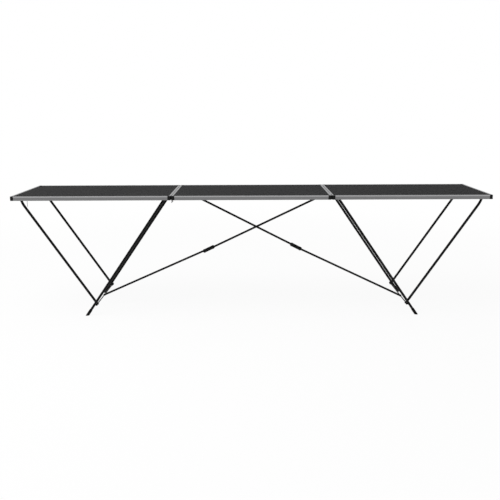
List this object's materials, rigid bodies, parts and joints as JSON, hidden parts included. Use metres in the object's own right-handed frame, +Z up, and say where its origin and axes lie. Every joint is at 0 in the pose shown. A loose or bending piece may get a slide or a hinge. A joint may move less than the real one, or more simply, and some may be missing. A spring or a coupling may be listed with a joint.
{
  "type": "folding work table",
  "caption": "Long folding work table: framed boards hinged end to end on splayed tubular legs with braces and crossed diagonal stays.",
  "frame": {"origin": "on the floor under the middle of the top", "axes": "+X along the table to the right, +Y from the front to the back, +Z up"},
  "size_m": [3, 0.6, 0.7835],
  "materials": {
    "board": "dark grey laminate on a thin fibreboard, satin",
    "rail": "extruded aluminium, satin anodised",
    "rivet": "bare aluminium rivets",
    "cap": "black moulded plastic",
    "hinge": "zinc-plated steel",
    "steel": "zinc-plated steel",
    "foot": "black rubber",
    "plastic": "black moulded plastic",
    "bracket": "black painted sheet steel",
    "tube": "black powder-coated steel tube, semi-gloss"
  },
  "bodies": {
    "centre_panel": {"centre_board": "board", "centre_front_rail": "rail", "centre_rear_rail": "rail", "centre_left_end_rail": "rail", "centre_right_end_rail": "rail", "centre_corner_caps": "cap", "left_hinge_centre_leaves": "hinge", "left_hinge_pins": "hinge", "right_hinge_centre_leaves": "hinge", "right_hinge_pins": "hinge", "centre_hinge_rivets": "rivet", "centre_screws": "steel", "left_stay_bracket": "bracket", "left_stay_pin": "steel", "right_stay_bracket": "bracket", "right_stay_pin": "steel"},
    "left_panel": {"left_board": "board", "left_front_rail": "rail", "left_rear_rail": "rail", "left_outer_end_rail": "rail", "left_inner_end_rail": "rail", "left_corner_caps": "cap", "left_hinge_outer_leaves": "hinge", "left_hinge_rivets": "rivet", "left_screws": "steel", "left_leg_saddles": "bracket", "left_brace_saddles": "bracket", "left_catch_block": "cap", "left_catch_wire": "steel"},
    "left_leg": {"left_leg_frame": "tube", "left_foot_caps": "foot", "left_leg_bar": "tube", "left_leg_bar_lugs": "tube"},
    "left_brace": {"left_brace_frame": "tube", "left_brace_hooks": "plastic"},
    "left_lower_stay": {"left_stay_lower": "tube"},
    "left_upper_stay": {"left_stay_upper": "tube", "left_stay_lock": "plastic"},
    "right_panel": {"right_board": "board", "right_front_rail": "rail", "right_rear_rail": "rail", "right_outer_end_rail": "rail", "right_inner_end_rail": "rail", "right_corner_caps": "cap", "right_hinge_outer_leaves": "hinge", "right_hinge_rivets": "rivet", "right_screws": "steel", "right_leg_saddles": "bracket", "right_brace_saddles": "bracket"},
    "right_leg": {"right_leg_frame": "tube", "right_foot_caps": "foot", "right_leg_bar": "tube", "right_leg_bar_lugs": "tube"},
    "right_brace": {"right_brace_frame": "tube", "right_brace_hooks": "plastic"},
    "right_lower_stay": {"right_stay_lower": "tube"},
    "right_upper_stay": {"right_stay_upper": "tube", "right_stay_lock": "plastic"}
  },
  "joints": [
    {"name": "left_fold", "type": "hinge", "parent": "centre_panel", "child": "left_panel", "pos_m": [-0.5, 0, 0.7355], "axis": [0, -1, 0], "range_deg": [0, 180]},
    {"name": "right_fold", "type": "hinge", "parent": "centre_panel", "child": "right_panel", "pos_m": [0.5, 0, 0.7805], "axis": [0, -1, 0], "range_deg": [0, 180]},
    {"name": "left_leg_fold", "type": "hinge", "parent": "left_panel", "child": "left_leg", "pos_m": [-0.54, 0, 0.7655], "axis": [0, 1, 0], "range_deg": [0, 55.2]},
    {"name": "right_leg_fold", "type": "hinge", "parent": "right_panel", "child": "right_leg", "pos_m": [0.54, 0, 0.7655], "axis": [0, -1, 0], "range_deg": [0, 55.2]},
    {"name": "left_brace_fold", "type": "hinge", "parent": "left_panel", "child": "left_brace", "pos_m": [-1.468, 0, 0.7655], "axis": [0, -1, 0], "range_deg": [0, 56.39]},
    {"name": "right_brace_fold", "type": "hinge", "parent": "right_panel", "child": "right_brace", "pos_m": [1.468, 0, 0.7655], "axis": [0, 1, 0], "range_deg": [0, 56.39]},
    {"name": "left_lower_stay_fold", "type": "hinge", "parent": "left_leg", "child": "left_lower_stay", "pos_m": [-1.00511, 0, 0.06909], "axis": [0, -1, 0], "range_deg": [0, 32.25]},
    {"name": "right_lower_stay_fold", "type": "hinge", "parent": "right_leg", "child": "right_lower_stay", "pos_m": [1.00511, 0, 0.06909], "axis": [0, 1, 0], "range_deg": [0, 30.66]},
    {"name": "left_upper_stay_fold", "type": "hinge", "parent": "centre_panel", "child": "left_upper_stay", "pos_m": [0.472, 0, 0.75], "axis": [0, 1, 0], "range_deg": [0, 25.5]},
    {"name": "right_upper_stay_fold", "type": "hinge", "parent": "centre_panel", "child": "right_upper_stay", "pos_m": [-0.37, 0, 0.75], "axis": [0, -1, 0], "range_deg": [0, 27.19]}
  ],
  "couplings": [
    {"joint": "left_leg_fold", "follows": "left_fold", "ratio": 0.30667},
    {"joint": "left_brace_fold", "follows": "left_fold", "ratio": 0.31328},
    {"joint": "left_lower_stay_fold", "follows": "left_fold", "ratio": 0.17917},
    {"joint": "left_upper_stay_fold", "follows": "left_fold", "ratio": 0.14167},
    {"joint": "right_upper_stay_fold", "follows": "left_fold", "ratio": 0.15106},
    {"joint": "right_leg_fold", "follows": "right_fold", "ratio": 0.30667},
    {"joint": "right_brace_fold", "follows": "right_fold", "ratio": 0.31328},
    {"joint": "right_lower_stay_fold", "follows": "left_fold", "ratio": 0.17033}
  ]
}
